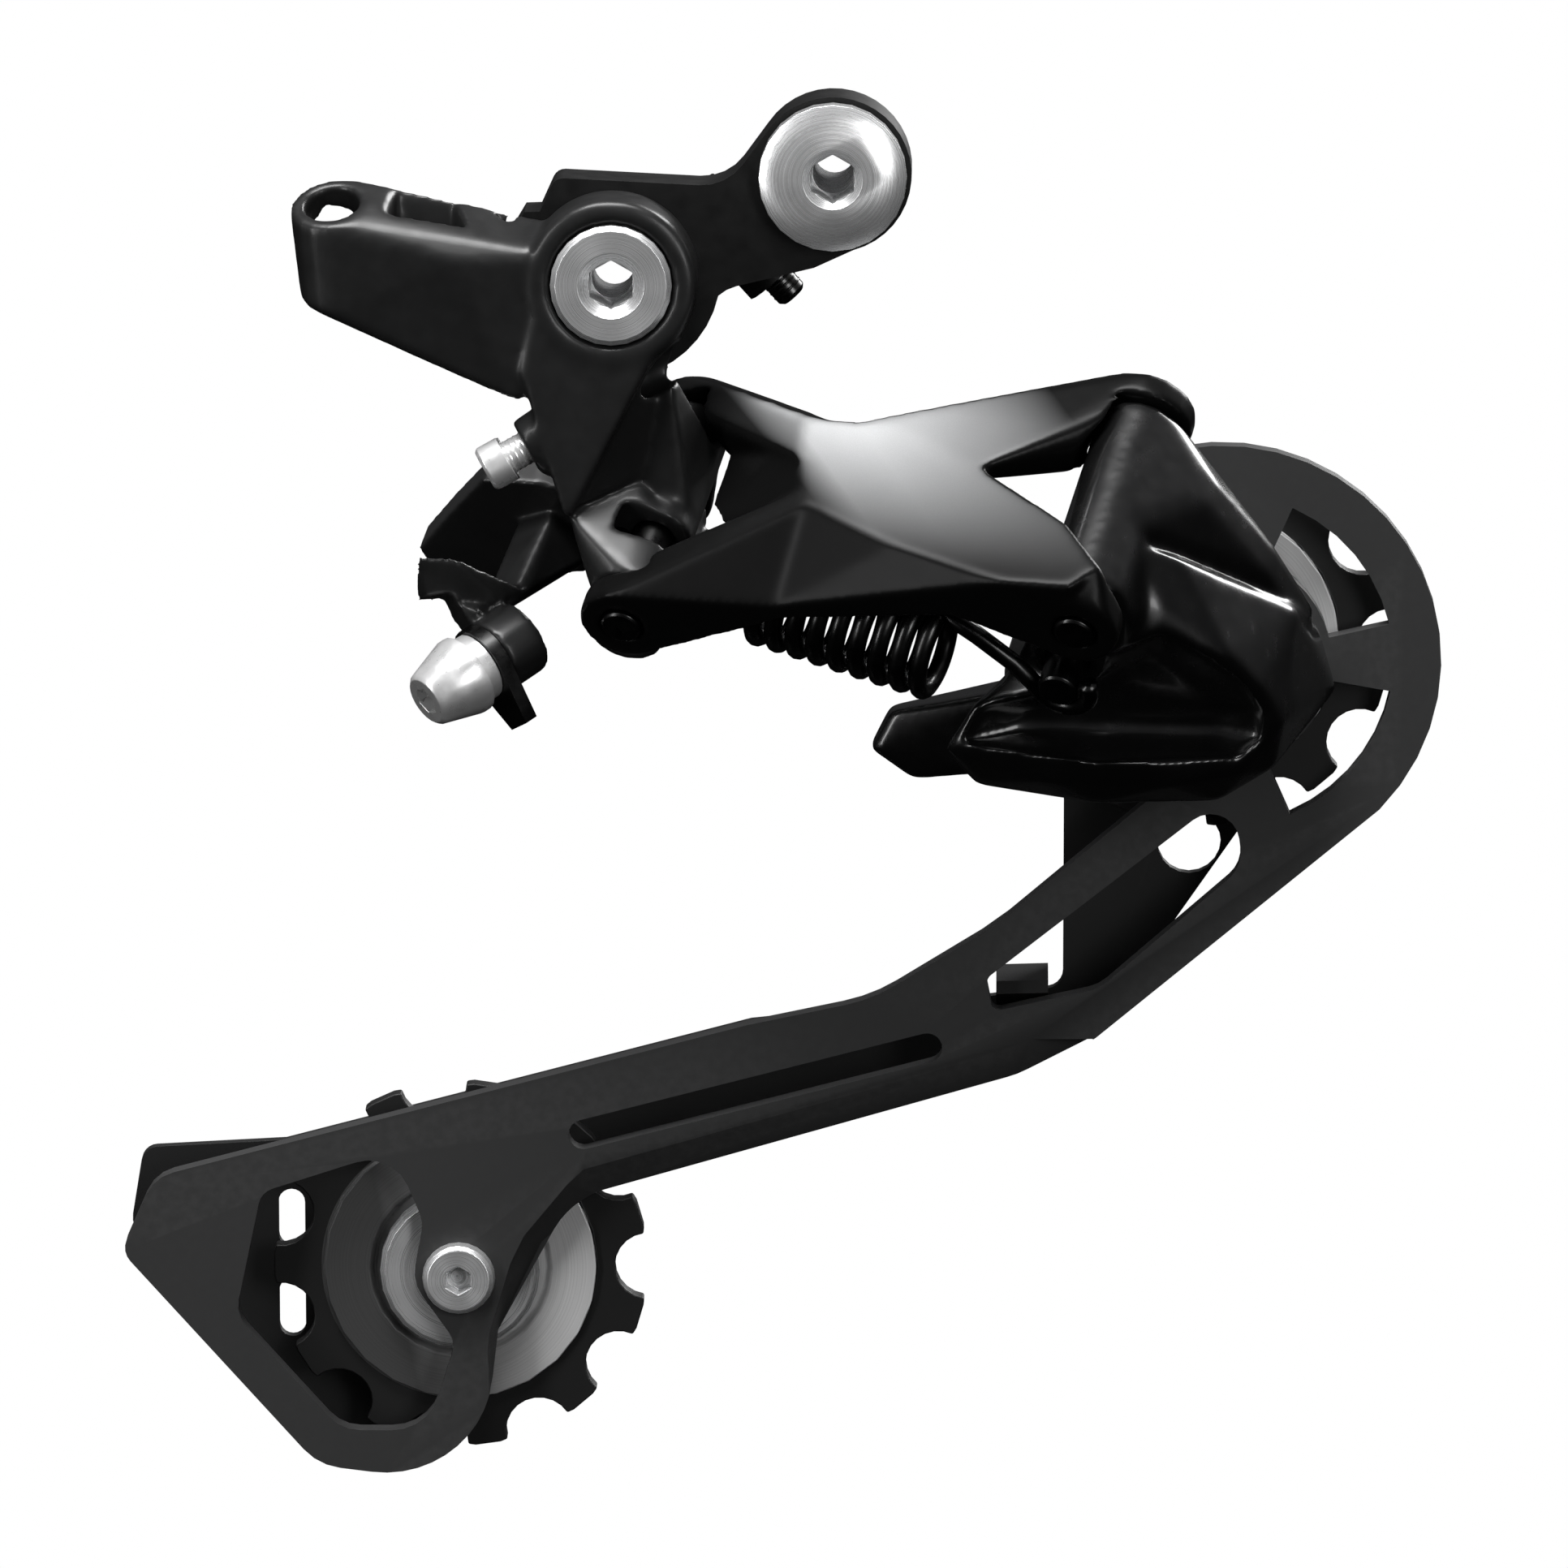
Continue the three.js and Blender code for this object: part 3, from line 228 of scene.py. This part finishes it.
class Nodes:
    """A material's node tree with short calls for the nodes used here."""

    def __init__(self, name):
        self.material = bpy.data.materials.new(name)
        self.material.use_nodes = True
        self.tree = self.material.node_tree
        self.tree.nodes.clear()
        self.shader = self.add("ShaderNodeBsdfPrincipled")
        self.output = self.add("ShaderNodeOutputMaterial")
        self.link(self.shader.outputs["BSDF"], self.output.inputs["Surface"])

    def add(self, kind, **values):
        node = self.tree.nodes.new(kind)
        for key, value in values.items():
            setattr(node, key, value)
        return node

    def link(self, source, target):
        self.tree.links.new(source, target)

    def place(self):
        """Coordinates in metres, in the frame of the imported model."""
        return self.add("ShaderNodeTexCoord").outputs["Object"]

    def offset_from(self, origin):
        """The way from a point to the shaded place."""
        node = self.add("ShaderNodeVectorMath", operation="SUBTRACT")
        self.link(self.place(), node.inputs[0])
        node.inputs[1].default_value = origin
        return node.outputs[0]

    def length(self, vector):
        node = self.add("ShaderNodeVectorMath", operation="LENGTH")
        self.link(vector, node.inputs[0])
        return node.outputs["Value"]

    def noise(self, scale, detail=3, vector=None):
        node = self.add("ShaderNodeTexNoise")
        node.inputs["Scale"].default_value = scale
        node.inputs["Detail"].default_value = detail
        self.link(vector or self.place(), node.inputs["Vector"])
        return node.outputs["Fac"]

    def span(self, value, low, high, start=0.0, end=1.0):
        """Maps start..end of a value to low..high."""
        node = self.add("ShaderNodeMapRange")
        node.inputs["From Min"].default_value = start
        node.inputs["From Max"].default_value = end
        node.inputs["To Min"].default_value = low
        node.inputs["To Max"].default_value = high
        self.link(value, node.inputs["Value"])
        return node.outputs["Result"]

    def spread(self, noise, low, high):
        """Maps the middle range of a noise, where most of it lies, to low..high."""
        return self.span(noise, low, high, 0.3, 0.7)

    def mix(self, factor, low, high):
        node = self.add("ShaderNodeMix", data_type="RGBA")
        for slot, value in ((0, factor), (6, low), (7, high)):
            socket = node.inputs[slot]
            if isinstance(value, bpy.types.NodeSocket):
                self.link(value, socket)
            else:
                socket.default_value = value
        return node.outputs[2]

    def math(self, operation, a, b):
        node = self.add("ShaderNodeMath", operation=operation)
        for socket, value in zip(node.inputs, (a, b)):
            if isinstance(value, bpy.types.NodeSocket):
                self.link(value, socket)
            else:
                socket.default_value = value
        return node.outputs[0]

    def dot(self, vector, direction):
        node = self.add("ShaderNodeVectorMath", operation="DOT_PRODUCT")
        self.link(vector, node.inputs[0])
        node.inputs[1].default_value = direction
        return node.outputs["Value"]

    def circular(self):
        """Lays the brush marks in circles about the piece's own Y axis."""
        around = self.add("ShaderNodeTangent", direction_type="RADIAL", axis="Y")
        self.link(around.outputs["Tangent"], self.shader.inputs["Tangent"])

    def bump(self, height, strength, distance):
        node = self.add("ShaderNodeBump")
        node.inputs["Strength"].default_value = strength
        node.inputs["Distance"].default_value = distance
        self.link(height, node.inputs["Height"])
        self.link(node.outputs["Normal"], self.shader.inputs["Normal"])

    def worn_edges(self, colour, worn, amount=0.35):
        """A paler colour where the surface turns sharply outwards."""
        geometry = self.add("ShaderNodeNewGeometry")
        edge = self.span(geometry.outputs["Pointiness"], 0, amount, 0.53, 0.62)
        broken = self.math("MULTIPLY", edge, self.span(self.noise(900), 0.2, 1, 0.35, 0.65))
        return self.mix(broken, colour, worn)

    def set(self, **values):
        names = {
            "colour": "Base Color",
            "metal": "Metallic",
            "rough": "Roughness",
            "coat": "Coat Weight",
            "coat_rough": "Coat Roughness",
            "turned": "Anisotropic",
            "specular": "Specular IOR Level",
        }
        for key, value in values.items():
            socket = self.shader.inputs[names[key]]
            if isinstance(value, bpy.types.NodeSocket):
                self.link(value, socket)
            else:
                socket.default_value = value


def grey(value, tint=0.0):
    """A grey, a little towards blue where it has a tint."""
    return (value, value * (1 + tint / 2), value * (1 + tint), 1)


def paint(name, tone, rough, coat, peel, specular=0.5):
    """Sprayed paint: slight orange peel and faint clouding."""
    nodes = Nodes(name)
    cloud = nodes.noise(140, 4)
    nodes.set(
        colour=nodes.mix(cloud, grey(tone * 0.85), grey(tone * 1.2, 0.03)),
        rough=nodes.spread(nodes.noise(420, 5), rough * 0.88, rough * 1.14),
        coat=coat,
        coat_rough=0.08,
        specular=specular,
    )
    nodes.bump(nodes.noise(2600, 2), peel, 0.08 * MM)
    return nodes.material


def anodised(name, tone):
    """Bead-blasted and anodised aluminium plate, a little paler where its edges are worn."""
    nodes = Nodes(name)
    base = nodes.mix(nodes.noise(25, 2), grey(tone * 0.94), grey(tone * 1.06, 0.02))
    nodes.set(
        colour=nodes.worn_edges(base, grey(tone * 2), 0.3),
        metal=0.3,
        rough=nodes.spread(nodes.noise(6000, 2), 0.44, 0.52),
    )
    nodes.bump(nodes.noise(9000, 2), 0.1, 0.04 * MM)
    return nodes.material


def turned_steel(name, tone, rough, axis, origin):
    """Bright turned metal, with fine rings about its axis."""
    nodes = Nodes(name)
    offset = nodes.offset_from(origin)
    along = nodes.dot(offset, axis)
    slant = nodes.math("POWER", nodes.length(offset), 2)
    square = nodes.math("SUBTRACT", slant, nodes.math("POWER", along, 2))
    radius = nodes.math("POWER", nodes.math("MAXIMUM", square, 0), 0.5)
    lathe_place = nodes.add("ShaderNodeCombineXYZ")
    nodes.link(radius, lathe_place.inputs[0])
    nodes.link(along, lathe_place.inputs[1])
    rings = nodes.noise(9000, 2, lathe_place.outputs[0])
    smudge = nodes.span(nodes.noise(260, 3), 0, 0.08)
    grooves = nodes.spread(rings, rough * 0.7, rough * 1.2)
    nodes.set(
        colour=nodes.mix(rings, grey(tone * 0.82), grey(tone * 1.06, 0.02)),
        metal=0.72,
        rough=nodes.math("ADD", grooves, smudge),
        turned=0.7,
    )
    nodes.circular()
    nodes.bump(rings, 0.08, 0.03 * MM)
    return nodes.material


def plain_steel(name, tone, rough, metal=1):
    """Steel with a slightly cloudy finish and paler edges."""
    nodes = Nodes(name)
    cloud = nodes.noise(500, 4)
    base = nodes.mix(cloud, grey(tone * 0.8), grey(tone * 1.15))
    nodes.set(
        colour=nodes.worn_edges(base, grey(tone * 1.6 + 0.05)),
        metal=metal,
        rough=nodes.spread(cloud, rough * 0.8, rough * 1.25),
    )
    nodes.bump(nodes.noise(5000, 2), 0.06, 0.04 * MM)
    return nodes.material


def sintered_bronze(name):
    """The grainy bronze of the bushes."""
    nodes = Nodes(name)
    grain = nodes.noise(5000, 3)
    nodes.set(colour=nodes.mix(grain, (0.2, 0.12, 0.05, 1), (0.46, 0.31, 0.15, 1)), metal=1, rough=0.5)
    nodes.bump(grain, 0.2, 0.05 * MM)
    return nodes.material


def soft_rubber(name):
    """The dull black rubber of the axle's seal."""
    nodes = Nodes(name)
    nodes.set(colour=nodes.mix(nodes.noise(700), grey(0.008), grey(0.018)), rough=0.85)
    nodes.bump(nodes.noise(4000), 0.2, 0.06 * MM)
    return nodes.material


def moulded_resin(name, origin):
    """Black resin with a grey ring, partly its own tone and partly a painted sheen, painted brighter on
    one side and darker on the other as painted light and shade.
    """
    nodes = Nodes(name)
    offset = nodes.offset_from(origin)
    flat = nodes.add("ShaderNodeVectorMath", operation="MULTIPLY")
    nodes.link(offset, flat.inputs[0])
    flat.inputs[1].default_value = (1, 0, 1)
    radius = nodes.length(flat.outputs[0])
    inside = nodes.math("LESS_THAN", radius, SHEEN_RING_RADIUS)
    rings = nodes.add("ShaderNodeCombineXYZ")
    nodes.link(radius, rings.inputs[0])
    lines = nodes.noise(5200, 2, rings.outputs[0])
    # Painted light and shade: the ring is painted bright towards +X and dark on the other side, where
    # the cage plate's shade falls.
    painted_side_light = nodes.span(nodes.dot(offset, (1, 0, 0.2)), 0.06, 1, -8 * MM, 13 * MM)
    grooves = nodes.spread(lines, 0.7, 1)
    painted_ring_sheen = nodes.math("MULTIPLY", nodes.math("MULTIPLY", inside, painted_side_light), grooves)
    nodes.set(
        colour=nodes.mix(painted_ring_sheen, grey(0.006), grey(0.9)),
        rough=nodes.span(painted_ring_sheen, 0.5, 0.4),
        metal=nodes.span(painted_ring_sheen, 0, 0.45),
        turned=nodes.span(painted_ring_sheen, 0, 0.7),
    )
    nodes.circular()
    nodes.bump(nodes.noise(3500, 3), 0.1, 0.05 * MM)
    return nodes.material


def nameplate(name):
    """Black lacquer with a painted highlight: it fades to a pale, faintly metallic grey towards the
    upper edge of the outer face.
    """
    nodes = Nodes(name)
    offset = nodes.offset_from(REAR_OUTER)
    height = nodes.dot(offset, LINK_PIN)
    along = nodes.dot(offset, LINK)
    normal = nodes.add("ShaderNodeNewGeometry").outputs["Normal"]
    # Painted highlight: faces that look outwards are painted paler, most high up and part way along,
    # fading out towards both ends.
    facing = nodes.span(nodes.dot(normal, -SWING), 0, 1, 0.9, 0.99)
    rise = nodes.math("POWER", nodes.span(height, 0, 1, 2 * MM, 26 * MM), 1.3)
    lean = nodes.math("ADD", along, nodes.math("MULTIPLY", height, 0.85))
    near = nodes.span(lean, 0.04, 1, 33 * MM, 38 * MM)
    far = nodes.span(lean, 1, 0, 46 * MM, 74 * MM)
    fade = nodes.math("MULTIPLY", near, far)
    painted_highlight = nodes.math("MULTIPLY", nodes.math("MULTIPLY", facing, rise), fade)
    flake = nodes.spread(nodes.noise(14000, 1), 0.92, 1.05)
    flaked_highlight = nodes.math("MULTIPLY", painted_highlight, flake)
    nodes.set(
        colour=nodes.mix(flaked_highlight, grey(0.003), grey(0.4, 0.02)),
        metal=nodes.span(painted_highlight, 0, 0.3),
        rough=nodes.spread(nodes.noise(420, 4), 0.3, 0.33),
        specular=nodes.span(painted_highlight, 0.1, 0.4),
    )
    nodes.bump(nodes.noise(2600, 2), 0.04, 0.08 * MM)
    return nodes.material


# ---- Carried-over and remade solids ----


def dressed(node, material, bevel):
    """A CAD solid that stays: its edges get a round, in millimetres, and it gets its finish."""
    solid = NODES[node]
    stored = solid.data.attributes.get("custom_normal")
    if stored:
        solid.data.attributes.remove(stored)
    smooth(solid)
    weld = solid.modifiers.new("weld", "WELD")
    weld.merge_threshold = WELD_GAP
    flat = solid.modifiers.new("flat", "DECIMATE")
    flat.decimate_type = "DISSOLVE"
    flat.angle_limit = FLAT_ANGLE
    edges = solid.modifiers.new("edges", "BEVEL")
    edges.width = bevel * MM
    edges.segments = 2
    edges.limit_method = "ANGLE"
    edges.angle_limit = SHARP_ANGLE
    edges.harden_normals = True
    solid.data.materials.clear()
    solid.data.materials.append(material)


def casting(node, material, rounds):
    """Stands for a CAD casting: the same shape with the soft edges of a real die casting."""
    piece = bpy.data.objects.new(f"{node}_casting", NODES[node].data.copy())
    bpy.context.scene.collection.objects.link(piece)
    piece.data.materials.clear()
    weld = piece.modifiers.new("weld", "WELD")
    weld.merge_threshold = WELD_GAP
    remesh = piece.modifiers.new("remesh", "REMESH")
    remesh.mode = "VOXEL"
    remesh.voxel_size = VOXEL
    soft = piece.modifiers.new("soft", "SMOOTH")
    soft.factor = 0.5
    soft.iterations = rounds
    baked(piece)
    piece.data.materials.append(material)
    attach(piece, node)
    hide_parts(node)


# ---- Springs and threads ----


def eased(points, steps):
    """A smooth path through the points."""
    path = []
    for i in range(len(points) - 1):
        a, b = points[max(i - 1, 0)], points[i]
        c, d = points[i + 1], points[min(i + 2, len(points) - 1)]
        for step in range(steps):
            t = step / steps
            path.append(
                0.5
                * (
                    2 * b
                    + (c - a) * t
                    + (2 * a - 5 * b + 4 * c - d) * t * t
                    + (3 * b - a - 3 * c + d) * t ** 3
                )
            )
    path.append(points[-1])
    return path


def return_spring(material):
    """The tension spring between the rear outer and the front inner pin, with a hook round each."""
    low_end, _ = extent("front_inner_pin", LINK_PIN, centre("front_inner_pin"))
    rear = REAR_OUTER + LINK_PIN * REAR_HOOK_HEIGHT
    front = centre("front_inner_pin") + LINK_PIN * (low_end + FRONT_HOOK_INSET)
    along = front - rear
    length = along.length
    along.normalize()
    out = (LINK_PIN - along * LINK_PIN.dot(along)).normalized()
    side = along.cross(out)
    lead = along * (HOOK_RADIUS + 2 * MM)  # the straight wire between a hook and the coil
    lean = side * 0.8 * MM

    def hooked(middle, angles):
        points = []
        for turn in angles:
            angle = math.radians(turn)
            points.append(middle + (along * math.cos(angle) + side * math.sin(angle)) * HOOK_RADIUS)
        return points

    points = hooked(rear, range(-200, -20, 25))
    points.append(rear + lead + lean)
    steps = COIL["turns"] * 24
    for i in range(steps + 1):
        share = i / steps
        angle = 2 * math.pi * COIL["turns"] * share
        spot = rear + along * length * (COIL["from"] + COIL["length"] * share)
        points.append(spot + (side * math.cos(angle) + out * math.sin(angle)) * COIL["radius"])
    points.append(front - lead + lean)
    points += hooked(front, range(230, 385, 25))
    piece = swept("return_spring_coil", eased(points, 2), COIL["wire"])
    piece.data.materials.append(material)
    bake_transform(piece)
    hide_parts("return_spring")


def cage_spring(material):
    """The torsion spring inside the P-knuckle's barrel."""
    low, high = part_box("cage_spring")
    wire = CAGE_COIL["wire"]
    radius = (high.x - low.x) / 2 - wire
    rise = high.y - low.y - 2 * wire
    turns = CAGE_COIL["turns"]
    steps = turns * 40
    path = []
    for i in range(steps + 1):
        share = i / steps
        angle = 2 * math.pi * turns * share
        spoke = Vector((math.cos(angle), 0, math.sin(angle))) * radius
        path.append(Vector((CAGE_PIVOT.x, low.y + wire + rise * share, CAGE_PIVOT.z)) + spoke)
    piece = swept("cage_spring_coil", path, wire)
    piece.data.materials.append(material)
    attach(piece, "p_knuckle")
    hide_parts("cage_spring")


def thread(node, body, axis, span, radius, pitch, material):
    """Thread ridges on a screw's shank, span in millimetres from its lowest end along the axis."""
    origin = centre(node)
    low, _ = extent(node, axis, origin)
    start, end = span
    crest, root = radius + 0.06, radius - 0.16
    profile = [(start, radius - 0.5)]
    for i in range(int((end - start) / pitch)):
        foot = start + i * pitch
        profile += [(foot, root), (foot + pitch * 0.4, crest), (foot + pitch * 0.55, crest)]
    profile += [(end, root), (end, radius - 0.5)]
    piece = lathe(f"{node}_thread", line_through(node, axis) + axis * low, axis, profile)
    piece.data.materials.append(material)
    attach(piece, body)


def line_through(node, axis):
    """The point of a turned node's axis that lies level with the middle of its box."""
    u, w = across(axis)
    origin = centre(node)
    shift = Vector()
    for direction in (u, w):
        low, high = extent(node, direction, origin)
        shift += direction * (low + high) / 2
    return origin + shift


# ---- The object's finishes ----

GLOSS_BLACK = paint("gloss_black", tone=0.003, rough=0.25, coat=0.25, peel=0.008)
SATIN_BLACK = paint("satin_black", tone=0.011, rough=0.36, coat=0.05, peel=0.05, specular=0.36)
BRACKET_BLACK = paint("bracket_black", tone=0.002, rough=0.5, coat=0, peel=0.05, specular=0.3)
ANODISED = anodised("dark_anodised", 0.042)
# Painted shade: the inner plate has the outer plate's anodised finish, painted darker for the shade
# behind the outer plate.
SHADED_PLATE = anodised("inner_anodised_painted_shade", 0.014)
DARK_STEEL = plain_steel("dark_steel", 0.045, 0.28)
BRIGHT_STEEL = plain_steel("bright_steel", 0.8, 0.3, metal=0.6)
BRONZE = sintered_bronze("bronze")
RUBBER = soft_rubber("rubber")
NAMEPLATE = nameplate("nameplate")

casting("b_knuckle", SATIN_BLACK, rounds=30)
casting("p_knuckle", GLOSS_BLACK, rounds=60)
casting("outer_link", NAMEPLATE, rounds=40)
casting("inner_link", SATIN_BLACK, rounds=16)

dressed("bracket_arm", BRACKET_BLACK, 0.5)
dressed("cage_outer_plate", ANODISED, 0.35)
dressed("cage_inner_plate", SHADED_PLATE, 0.3)
for pulley in ("guide", "tension"):
    middle = centre(f"{pulley}_pulley")
    steel = turned_steel(f"{pulley}_steel", 0.82, 0.27, SIDEWAYS, middle)
    dressed(f"{pulley}_pulley", moulded_resin(f"{pulley}_resin", middle), 0.2)
    for part in ("bush", "cap_outer", "cap_inner", "bolt"):
        dressed(f"{pulley}_{part}", steel, 0.12)

dressed("hanger_bolt", turned_steel("hanger_steel", 0.74, 0.25, SIDEWAYS, centre("hanger_bolt")), 0.15)
dressed("b_pivot_bolt", turned_steel("pivot_steel", 0.72, 0.27, SIDEWAYS, centre("b_pivot_bolt")), 0.15)
dressed("cage_axle", turned_steel("axle_steel", 0.5, 0.25, SIDEWAYS, centre("cage_axle")), 0.12)
for node in ("hanger_bush", "b_pivot_bush", "axle_bush"):
    dressed(node, BRONZE, 0.08)
for node in ("rear_outer_pin", "rear_inner_pin", "front_outer_pin", "front_inner_pin"):
    dressed(node, DARK_STEEL, 0.12)
for node in ("high_limit_screw", "low_limit_screw", "cable_bolt", "stop_pin"):
    dressed(node, BRIGHT_STEEL, 0.12)
for node in ("stop_screw", "cable_washer"):
    dressed(node, DARK_STEEL, 0.12)
dressed("axle_seal", RUBBER, 0.1)

return_spring(DARK_STEEL)
cage_spring(DARK_STEEL)
for side in ("high_limit", "low_limit"):
    thread(f"{side}_screw", side, LIMIT_AXIS, (3.1, 12.6), 1.9, 0.7, BRIGHT_STEEL)
thread("stop_screw", "stop_screw", STOP_AXIS, (2.3, 16.4), 1.9, 0.7, DARK_STEEL)
thread("hanger_bolt", "hanger_mount", SIDEWAYS, (10.7, 18.6), 5, 1, BRIGHT_STEEL)

# ---- Studio ----


def soft_light(name, place, target, width, height, power):
    lamp = bpy.data.lights.new(name, "AREA")
    lamp.shape = "RECTANGLE"
    lamp.size, lamp.size_y = width, height
    lamp.energy = power
    holder = bpy.data.objects.new(name, lamp)
    holder.location = place
    holder.rotation_euler = (Vector(target) - Vector(place)).to_track_quat("-Z", "Y").to_euler()
    bpy.context.scene.collection.objects.link(holder)


def floor(level, middle):
    reach = 4
    outline = [(-reach, -reach), (reach, -reach), (reach, reach), (-reach, reach)]
    vertices = [(middle.x + x, middle.y + y, level) for x, y in outline]
    piece = mesh_object("floor", vertices, [(0, 1, 2, 3)])
    piece.data.materials.append(white_sweep(middle))
    piece.visible_glossy = False
    piece.visible_diffuse = False


def white_sweep(middle):
    """Pale paper under the object that turns to plain white further out."""
    nodes = Nodes("white_sweep")
    nodes.set(colour=grey(0.9), rough=0.8)
    apart = nodes.add("ShaderNodeVectorMath", operation="DISTANCE")
    nodes.link(nodes.place(), apart.inputs[0])
    apart.inputs[1].default_value = (middle.x, middle.y, 0)
    glow = nodes.add("ShaderNodeEmission")
    blend = nodes.add("ShaderNodeMixShader")
    nodes.link(nodes.span(apart.outputs["Value"], 0.35, 1, 0.06, 0.16), blend.inputs[0])
    nodes.link(nodes.shader.outputs["BSDF"], blend.inputs[1])
    nodes.link(glow.outputs[0], blend.inputs[2])
    nodes.link(blend.outputs[0], nodes.output.inputs["Surface"])
    return nodes.material


def backdrop():
    """White to the camera, and a dark studio with a pale ceiling to the object."""
    world = bpy.data.worlds.new("studio")
    bpy.context.scene.world = world
    world.use_nodes = True
    tree = world.node_tree
    tree.nodes.clear()
    where = tree.nodes.new("ShaderNodeTexCoord")
    split = tree.nodes.new("ShaderNodeSeparateXYZ")
    ramp = tree.nodes.new("ShaderNodeValToRGB")
    ramp.color_ramp.elements[0].position = 0.42
    ramp.color_ramp.elements[0].color = (0.005, 0.005, 0.005, 1)
    ramp.color_ramp.elements[1].position = 0.95
    ramp.color_ramp.elements[1].color = (0.16, 0.16, 0.165, 1)
    lift = tree.nodes.new("ShaderNodeMapRange")
    lift.inputs["From Min"].default_value = -1
    path = tree.nodes.new("ShaderNodeLightPath")
    choose = tree.nodes.new("ShaderNodeMix")
    choose.data_type = "RGBA"
    choose.inputs[7].default_value = (1, 1, 1, 1)
    background = tree.nodes.new("ShaderNodeBackground")
    output = tree.nodes.new("ShaderNodeOutputWorld")
    link = tree.links.new
    link(where.outputs["Generated"], split.inputs[0])
    link(split.outputs["Z"], lift.inputs["Value"])
    link(lift.outputs[0], ramp.inputs[0])
    link(path.outputs["Is Camera Ray"], choose.inputs[0])
    link(ramp.outputs[0], choose.inputs[6])
    link(choose.outputs[2], background.inputs["Color"])
    link(background.outputs[0], output.inputs["Surface"])


def camera():
    data = bpy.data.cameras.new("camera")
    data.sensor_width = SENSOR_WIDTH
    data.lens = LENS
    holder = bpy.data.objects.new("camera", data)
    level = Vector((math.sin(VIEW_TURN), -math.cos(VIEW_TURN), 0))
    back = level * math.cos(VIEW_RISE) + Vector((0, 0, math.sin(VIEW_RISE)))
    axis = centre("hanger_bolt")
    target = Vector((axis.x, 0, axis.z)) + VIEW_SHIFT
    holder.location = target + back * VIEW_DISTANCE
    holder.rotation_euler = (-back).to_track_quat("-Z", "Y").to_euler()
    bpy.context.scene.collection.objects.link(holder)
    bpy.context.scene.camera = holder


low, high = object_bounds()
middle = (low + high) / 2
floor(low.z - FLOOR_DROP, middle)
backdrop()
for name, way, width, height, power in LIGHTS:
    soft_light(name, middle + Vector(way), middle, width, height, power)
camera()
bpy.context.scene.view_settings.view_transform = "Standard"
